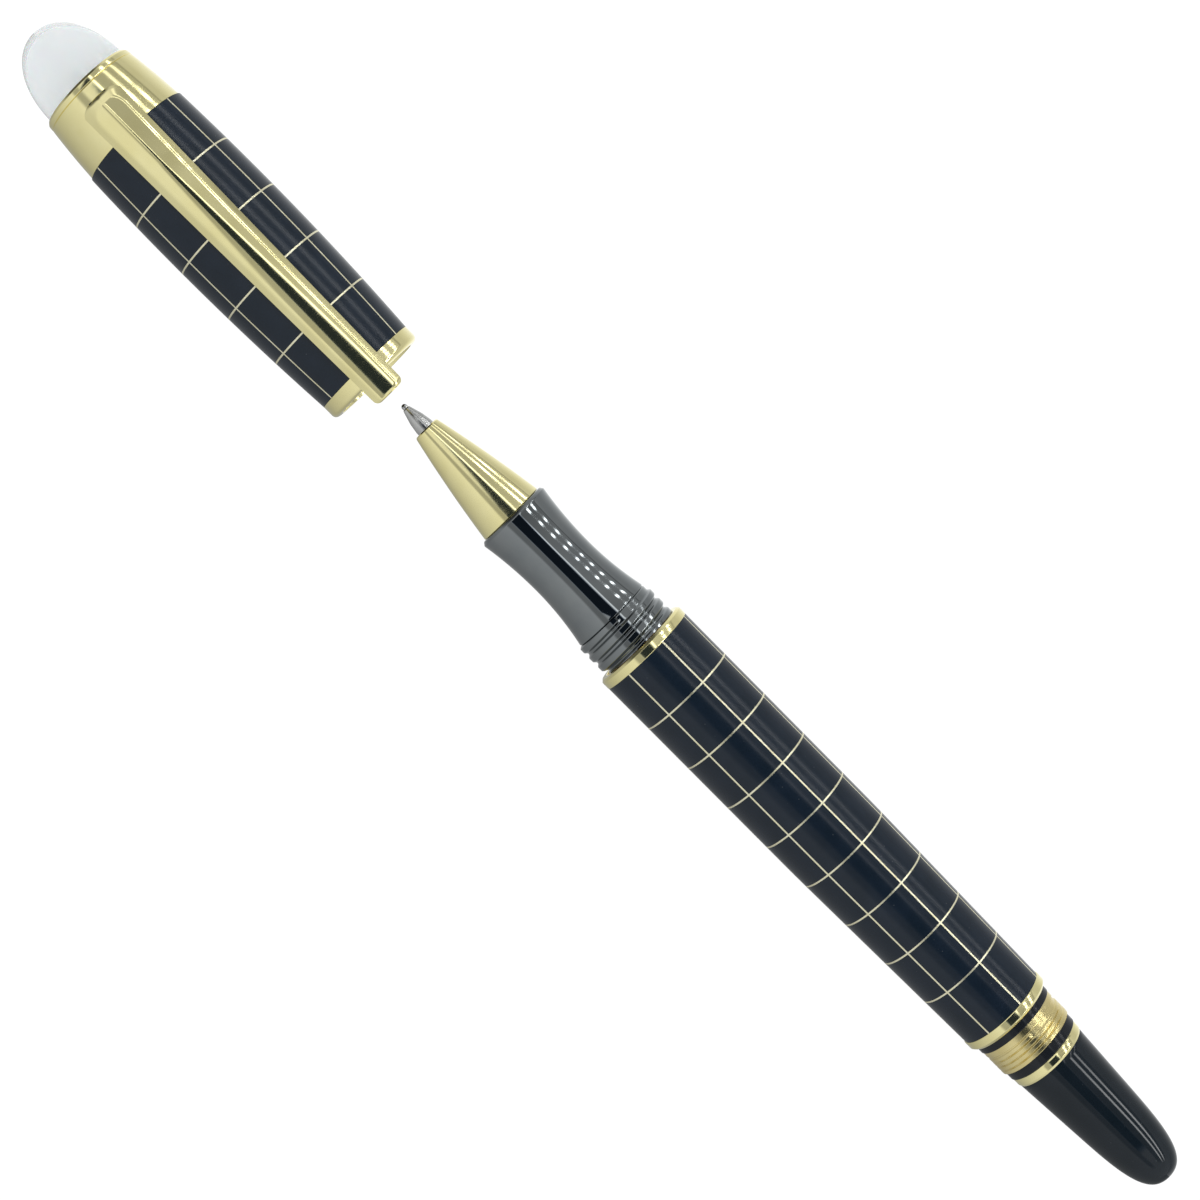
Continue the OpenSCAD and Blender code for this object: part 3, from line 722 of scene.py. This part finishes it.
# ---------------------------------------------------------------- clip
def make_clip():
    """The clip: a slim bar with a bevelled edge, ridged at the crown and rounded from its crest to its tip.

    Its flat turns a round corner at the crown, a little short of the CAD solid's square end.
    """
    low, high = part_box("clip")
    tip_u, top_u = (LIP_X - high.x) / MM, (LIP_X - low.x) / MM - 0.8
    top_w, tip_w = (high.y - low.y) / MM, 4.0
    crest_u, crest_z = 30, (high.z - AXIS_Z) / MM - 0.01
    root_drop, tip_drop, power = 1.3, 0.85, 1.4
    border, border_slope, roll, corner = 0.75, 0.55, 0.6, 0.7
    end_border, turn_r = 1.3, 0.9
    least, clear, foot_r, collar_r, foot_run = 0.3, 0.12, 6.1, 6.74, 1.6
    bead_u, bead_run, bead_h, bead_end = 2.7, 1.2, 0.2, 6

    def line(u):
        """Height of the middle of the face."""
        if u > crest_u:
            return crest_z - root_drop * ((u - crest_u) / (top_u - crest_u)) ** power
        return crest_z - tip_drop * ((crest_u - u) / (crest_u - tip_u)) ** power

    def half_width(u):
        straight = (tip_w + (top_w - tip_w) * (u - tip_u) / (top_u - tip_u)) / 2
        short = max(0, corner - min(u - tip_u, top_u - u))
        return straight - corner + math.sqrt(max(0, corner**2 - short**2))

    def ridge_radius(u):
        """Radius of the rounding along the middle: tight at the crown, opening out towards the tip."""
        share = min(1, max(0, (crest_u + 3 - u) / (crest_u + 3 - tip_u)))
        return 0.35 + 4.9 * share**0.8

    def top(u, y):
        flank = 0.33 + 0.12 * min(1, max(0, (34 - u) / 10))
        rho = ridge_radius(u) * flank**2
        ridge = math.sqrt(rho**2 + (flank * y) ** 2) - rho
        wide = tip_w / 2 + (top_w - tip_w) / 2 * (u - tip_u) / (top_u - tip_u)
        # distance past the flat's outline, which turns a round corner at the crown
        side = abs(y) - (wide - border) + turn_r
        end = (u - (top_u - end_border)) * border / end_border + turn_r
        past = math.hypot(max(0, side), max(0, end)) + min(0, max(side, end)) - turn_r
        bevel = border_slope * (past + math.sqrt(past**2 + 0.0025)) / 2
        sunk = max(0, roll - min(u - tip_u, top_u - u))
        return line(u) - ridge - bevel - 0.6 * (roll - math.sqrt(roll**2 - sunk**2))

    def under(u, y):
        """Height of the back, which follows the cap at a small distance and has a bead near the tip."""
        if u > cap_end:
            run = (top_u + foot_run - u) / (top_u + foot_run - cap_end)
            r = foot_r + (collar_r - foot_r) * run + clear
            return math.sqrt(max(0, r * r - y * y))
        r = cap_radius(max(u, cap_start)) + clear
        body = max(line(u) - 1.15, math.sqrt(r * r - y * y) if u > bead_end else r)
        return body - bead_h * math.exp(-(((u - bead_u) / bead_run) ** 2)) if u < bead_end else body

    steps, across = 170, 30
    stations = []
    for i in range(steps + 1):
        t = i / steps
        stations.append(tip_u + (top_u - tip_u) * (t - 0.85 * math.sin(2 * math.pi * t) / (2 * math.pi)))
    bm = bmesh.new()

    def vert(u, y, z):
        return bm.verts.new((LIP_X - u * MM, y * MM, AXIS_Z + z * MM))

    upper, lower = [], []
    for u in stations:
        ys = [half_width(u) * math.sin(math.pi / 2 * (2 * k / across - 1)) for k in range(across + 1)]
        upper.append([vert(u, y, top(u, y)) for y in ys])
        lower.append([vert(u, y, min(under(u, y), top(u, y) - least)) for y in ys])
    for i in range(steps):
        for k in range(across):
            bm.faces.new((upper[i][k], upper[i][k + 1], upper[i + 1][k + 1], upper[i + 1][k]))
            bm.faces.new((lower[i][k], lower[i + 1][k], lower[i + 1][k + 1], lower[i][k + 1]))
        for k in (0, across):
            bm.faces.new((upper[i][k], upper[i + 1][k], lower[i + 1][k], lower[i][k]))
    for i in (0, steps):
        for k in range(across):
            bm.faces.new((upper[i][k], upper[i][k + 1], lower[i][k + 1], lower[i][k]))
    # the tang goes down through the collar and ends in a hook under it
    tang_u, tang_t, tang_w, hook_z, hook_t, hook_l = 41.95, 0.8, 1.2, 5.3, 0.45, 0.55
    tang = (tang_u, tang_u + tang_t, hook_z - hook_t, line(tang_u) - 0.85)
    hook = (tang_u - hook_l, tang_u + tang_t, hook_z - hook_t, hook_z)
    for u0, u1, z0, z1 in (tang, hook):
        for v in bmesh.ops.create_cube(bm, size=1)["verts"]:
            u, z = u0 + (v.co.x + 0.5) * (u1 - u0), z0 + (v.co.z + 0.5) * (z1 - z0)
            v.co = Vector((LIP_X - u * MM, v.co.y * 2 * tang_w * MM, AXIS_Z + z * MM))
    finish_mesh(bm, "clip_finish", GOLD, "clip", "gold_plate", ["clip"], sharp=math.radians(50))


make_nose()
make_grip()
make_threads()
make_point()
make_spring()
make_barrel()
make_barrel_rings()
make_tail()
make_cap()
make_cap_rings()
make_dome()
make_clip()

# ---------------------------------------------------------------- CAD pieces that keep their shape
CAD_FINISH = {
    "barrel_bush": BRASS,
    "tail_stud": BRASS,
    "cap_bush": BRASS,
    "inner_cap": PALE_PLASTIC,
    "spring_seat": PALE_PLASTIC,
    "refill_tube": REFILL_PLASTIC,
    "tip_holder": REFILL_PLASTIC,
    "refill_plug": REFILL_PLASTIC,
    "ink_wick": INK,
    "ink_reservoir": INK,
    "crown_stud": SPRING_STEEL,
    "crown_nut": SPRING_STEEL,
}
for node, material in CAD_FINISH.items():
    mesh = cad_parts[node].data
    mesh.materials.clear()
    mesh.materials.append(material)


# ---------------------------------------------------------------- studio
def floor():
    """A plain white sweep, flat under the pen and rising all round it. It glows, and lights nothing."""
    flat_r, steepness = 1.2, 1.5
    bm = bmesh.new()
    bmesh.ops.create_grid(bm, x_segments=80, y_segments=80, size=2.5)
    for v in bm.verts:
        v.co.z = steepness * max(0, v.co.xy.length - flat_r) ** 2
    mesh = bpy.data.meshes.new("floor")
    bm.to_mesh(mesh)
    bm.free()
    material, tree, shader = principled(
        "floor", Roughness=0.9, Specular_IOR_Level=0.0, Emission_Strength=0.98, Emission_Color=(1, 1, 1, 1))
    tooth = noise(tree, coordinates(tree), 700, 4)
    connect(tree, shader, Base_Color=tint(tree, tooth, [(0.10, 0.10, 0.10), (0.11, 0.11, 0.11)]))
    mesh.materials.append(material)
    table = bpy.data.objects.new("floor", mesh)
    bpy.context.scene.collection.objects.link(table)
    table.visible_diffuse = table.visible_glossy = table.visible_shadow = False


def surroundings():
    """A white light tent: an opening overhead, a thin bright edge, a panel with two rows of lamps.

    Places in it are directions in degrees: across runs from overhead towards +Y, along towards the tail.
    """
    world = bpy.data.worlds.new("tent")
    bpy.context.scene.world = world
    world.use_nodes = True
    tree = world.node_tree
    tree.nodes.clear()
    direction = add(tree, "ShaderNodeTexCoord").outputs["Generated"]
    axes = add(tree, "ShaderNodeSeparateXYZ", {"Vector": direction})
    x, y, z = (axes.outputs[k] for k in "XYZ")

    def maths(operation, a, b=0.0, c=0.0):
        made = add(tree, "ShaderNodeMath", operation=operation)
        for i, value in enumerate((a, b, c)):
            if isinstance(value, bpy.types.NodeSocket):
                tree.links.new(value, made.inputs[i])
            else:
                made.inputs[i].default_value = value
        return made.outputs[0]

    def window(value, low, high, soft=1.0):
        """1 inside low to high and 0 outside, with soft edges."""
        rise = between(tree, value, 0, 1, low - soft / 2, low + soft / 2)
        fall = between(tree, value, 1, 0, high - soft / 2, high + soft / 2)
        return maths("MULTIPLY", rise, fall)

    def blend(under, shade, mask):
        """The level under, brought to shade where the mask is 1."""
        return maths("MULTIPLY_ADD", mask, maths("SUBTRACT", shade, under), under)

    across = maths("MULTIPLY", maths("ARCTAN2", y, z), 180 / math.pi)
    along = maths("MULTIPLY", maths("ARCSINE", x), 180 / math.pi)
    wall, rows = 0.83, (52, 74)
    # the walls dim towards the table in front of the pen
    # behind it they dim past the panel and brighten lower down
    level = between(tree, across, 0.48 * wall, wall, -140, -34)
    level = maths("MULTIPLY", level, between(tree, across, 1, 0.7, 60, 88))
    level = maths("MULTIPLY", level, between(tree, across, 1, 1.8, 105, 165))
    # the tent's mouth, beyond the crown, is dark
    level = blend(level, 0.1, between(tree, along, 1, 0, -72, -58))
    # the stretch of the tent that has the window and the panel
    length = window(along, -42, 50, 8)
    level = blend(level, 0.4, maths("MULTIPLY", window(across, -31, -14, 6), length))
    # the panel leans inwards along its length
    panel = maths("MULTIPLY", across, maths("MULTIPLY_ADD", maths("MAXIMUM", along, 0.0), 0.011, 1.0))
    fade = maths("MULTIPLY", between(tree, along, 1, 0.6, 4, 20), between(tree, along, 0.75, 1, -20, -10))
    level = blend(level, maths("MULTIPLY", fade, 0.55), maths("MULTIPLY", window(panel, 22, 87, 3), length))
    level = blend(level, 0.3, maths("MULTIPLY", window(panel, 87, 91, 2), length))
    edge = maths("MULTIPLY", window(panel, 18.5, 22.5, 1.5), window(along, -30, 16, 6))
    level = maths("MULTIPLY_ADD", edge, 1.5, level)
    # the opening narrows to a point at the crown's end
    left = between(tree, along, 13, -14, -24, -16)
    inside = between(tree, maths("SUBTRACT", across, left), 0, 1, -1, 1)
    opening = maths("MULTIPLY", inside, between(tree, across, 1, 0, 15, 17.5))
    opening = maths("MULTIPLY", opening, window(along, -24, 33, 4))
    level = blend(level, 0.03, opening)
    # both rows stay in step as the grip mirrors them
    pitch = maths("MULTIPLY_ADD", maths("SUBTRACT", along, 2.4), between(tree, panel, 0.89, 1, *rows), 2.4)
    lamp_gap, row_half = 3.5, 3.5
    spot = maths("PINGPONG", pitch, lamp_gap / 2)
    # the lamps stand apart in the middle of the strip and run together at its ends
    dots = maths("MULTIPLY", between(tree, spot, 0, 8, 1.1, 1.5), window(along, -19, 21, 2))
    tail_end = between(tree, along, 0, 9, 20, 24)
    nose_end = between(tree, along, 0.9, 0.1, -20, -17)
    lit = maths("ADD", dots, maths("ADD", tail_end, nose_end))
    for row in rows:
        strip = maths("MULTIPLY", window(panel, row - row_half, row + row_half, 3), length)
        level = maths("MULTIPLY_ADD", strip, lit, level)
    hue = tint(tree, opening, [(0.985, 1.0, 1.0), (0.6, 0.85, 1.25)], 0, 1)
    background = add(tree, "ShaderNodeBackground", {"Strength": level, "Color": hue})
    output = add(tree, "ShaderNodeOutputWorld")
    tree.links.new(background.outputs["Background"], output.inputs["Surface"])


def lamp(name, where, size, power, aim):
    """A large soft lamp that lights without showing in polished faces."""
    light = bpy.data.lights.new(name, "AREA")
    light.shape = "SQUARE"
    light.size = size
    light.energy = power
    made = bpy.data.objects.new(name, light)
    made.location = where
    made.rotation_euler = (Vector(aim) - Vector(where)).to_track_quat("-Z", "Y").to_euler()
    made.visible_glossy = False
    made.visible_camera = False
    made.visible_transmission = False
    bpy.context.scene.collection.objects.link(made)


def camera():
    """Looks down on the pen, turned so that it lies from the upper left to the lower right."""
    lens, height, tilt, turn = 88.2, 0.330, math.radians(3.89), math.radians(45.2)
    foot = Vector((BARREL_X - 0.0290, 0.0003, AXIS_Z))
    ahead = Vector((math.sin(tilt), 0, -math.cos(tilt)))
    along, across = Vector((math.cos(tilt), 0, math.sin(tilt))), Vector((0, 1, 0))
    right = along * math.cos(turn) + across * math.sin(turn)
    up = -along * math.sin(turn) + across * math.cos(turn)
    data = bpy.data.cameras.new("camera")
    data.lens = lens
    data.sensor_width = 36
    data.clip_start, data.clip_end = 0.01, 10
    made = bpy.data.objects.new("camera", data)
    turned = Matrix((right, up, -ahead)).transposed().to_4x4()
    made.matrix_world = Matrix.Translation(foot + Vector((0, 0, height))) @ turned
    bpy.context.scene.collection.objects.link(made)
    bpy.context.scene.camera = made


floor()
surroundings()
lamp("overhead", (0.1, 0.25, 0.9), 0.7, 2.0, (0, 0, 0))
camera()
bpy.context.scene.view_settings.view_transform = "Standard"
